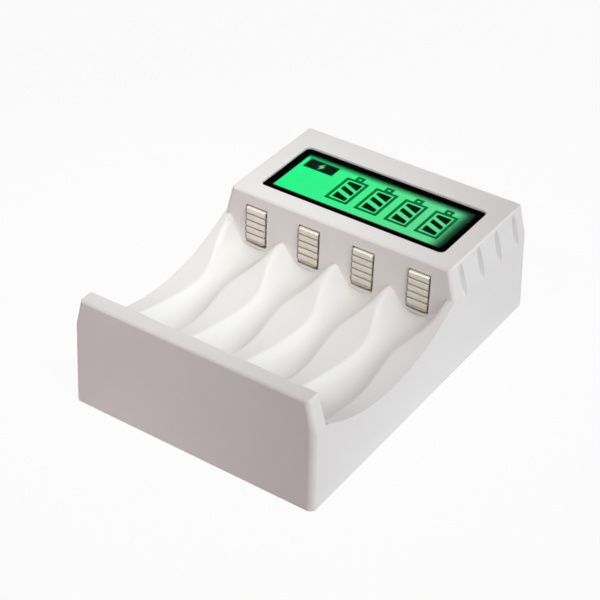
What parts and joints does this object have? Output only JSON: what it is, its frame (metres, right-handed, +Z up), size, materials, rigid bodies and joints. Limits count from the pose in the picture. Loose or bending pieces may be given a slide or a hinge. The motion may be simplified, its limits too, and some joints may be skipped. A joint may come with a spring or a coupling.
{
  "type": "battery charger",
  "caption": "White desktop charger for AA cells, with moulded cradles between a tall front wall and a head that holds a green backlit display and ribbed spring contacts.",
  "frame": {"origin": "under the middle of the footprint, on the surface that the charger stands on", "axes": "+X to the right, +Y from the front wall to the head, +Z up"},
  "size_m": [0.069, 0.0952, 0.0295],
  "materials": {
    "white_plastic": "satin white, moulded",
    "base_plastic": "satin white, moulded",
    "screw_steel": "zinc plated",
    "clear_cover": "clear acrylic, polished",
    "black_frame": "printed black border",
    "display_glass": "green, lit from behind",
    "light_guide": "clear green light guide",
    "led_resin": "clear resin",
    "pin_metal": "tinned",
    "board": "green solder resist on glass-fibre board",
    "black_resin": "moulded black",
    "gold_pins": "gold plated",
    "inlet_steel": "plated steel shell",
    "resistor_body": "black with grey ends",
    "ferrite": "dark ferrite",
    "capacitor_can": "bare can",
    "contact_metal": "nickel-plated spring sheet"
  },
  "bodies": {
    "charger_body": {"top_housing": "white_plastic", "base_cover": "base_plastic", "case_screws": "screw_steel", "display_window": "clear_cover", "display_mask": "black_frame", "lcd_panel": "display_glass", "lcd_backlight": "light_guide", "backlight_led": "led_resin", "lcd_pins": "pin_metal", "display_board": "board", "display_screws": "screw_steel", "main_board": "board", "board_screws": "screw_steel", "link_strip": "black_resin", "link_pins": "gold_pins", "inlet_shell": "inlet_steel", "inlet_tongue": "black_resin", "controller_chip": "black_resin", "chip_leads": "pin_metal", "charge_transistors": "black_resin", "sense_resistors": "resistor_body", "inductor": "ferrite", "filter_capacitors": "capacitor_can"},
    "positive_spring_1": {"positive_contact_1": "contact_metal"},
    "positive_spring_2": {"positive_contact_2": "contact_metal"},
    "positive_spring_3": {"positive_contact_3": "contact_metal"},
    "positive_spring_4": {"positive_contact_4": "contact_metal"},
    "negative_spring_1": {"negative_contact_1": "contact_metal"},
    "negative_spring_2": {"negative_contact_2": "contact_metal"},
    "negative_spring_3": {"negative_contact_3": "contact_metal"},
    "negative_spring_4": {"negative_contact_4": "contact_metal"}
  },
  "joints": [
    {"name": "positive_flex_1", "type": "hinge", "parent": "charger_body", "child": "positive_spring_1", "pos_m": [-0.024, 0.01405, 0.0062], "axis": [-1, 0, 0], "range_deg": [0, 2.5], "stiffness_Nm_per_rad": 1},
    {"name": "positive_flex_2", "type": "hinge", "parent": "charger_body", "child": "positive_spring_2", "pos_m": [-0.008, 0.01405, 0.0062], "axis": [-1, 0, 0], "range_deg": [0, 2.5], "stiffness_Nm_per_rad": 1},
    {"name": "positive_flex_3", "type": "hinge", "parent": "charger_body", "child": "positive_spring_3", "pos_m": [0.008, 0.01405, 0.0062], "axis": [-1, 0, 0], "range_deg": [0, 2.5], "stiffness_Nm_per_rad": 1},
    {"name": "positive_flex_4", "type": "hinge", "parent": "charger_body", "child": "positive_spring_4", "pos_m": [0.024, 0.01405, 0.0062], "axis": [-1, 0, 0], "range_deg": [0, 2.5], "stiffness_Nm_per_rad": 1},
    {"name": "negative_flex_1", "type": "hinge", "parent": "charger_body", "child": "negative_spring_1", "pos_m": [-0.024, -0.04285, 0.0062], "axis": [1, 0, 0], "range_deg": [0, 7], "stiffness_Nm_per_rad": 0.2},
    {"name": "negative_flex_2", "type": "hinge", "parent": "charger_body", "child": "negative_spring_2", "pos_m": [-0.008, -0.04285, 0.0062], "axis": [1, 0, 0], "range_deg": [0, 7], "stiffness_Nm_per_rad": 0.2},
    {"name": "negative_flex_3", "type": "hinge", "parent": "charger_body", "child": "negative_spring_3", "pos_m": [0.008, -0.04285, 0.0062], "axis": [1, 0, 0], "range_deg": [0, 7], "stiffness_Nm_per_rad": 0.2},
    {"name": "negative_flex_4", "type": "hinge", "parent": "charger_body", "child": "negative_spring_4", "pos_m": [0.024, -0.04285, 0.0062], "axis": [1, 0, 0], "range_deg": [0, 7], "stiffness_Nm_per_rad": 0.2}
  ]
}
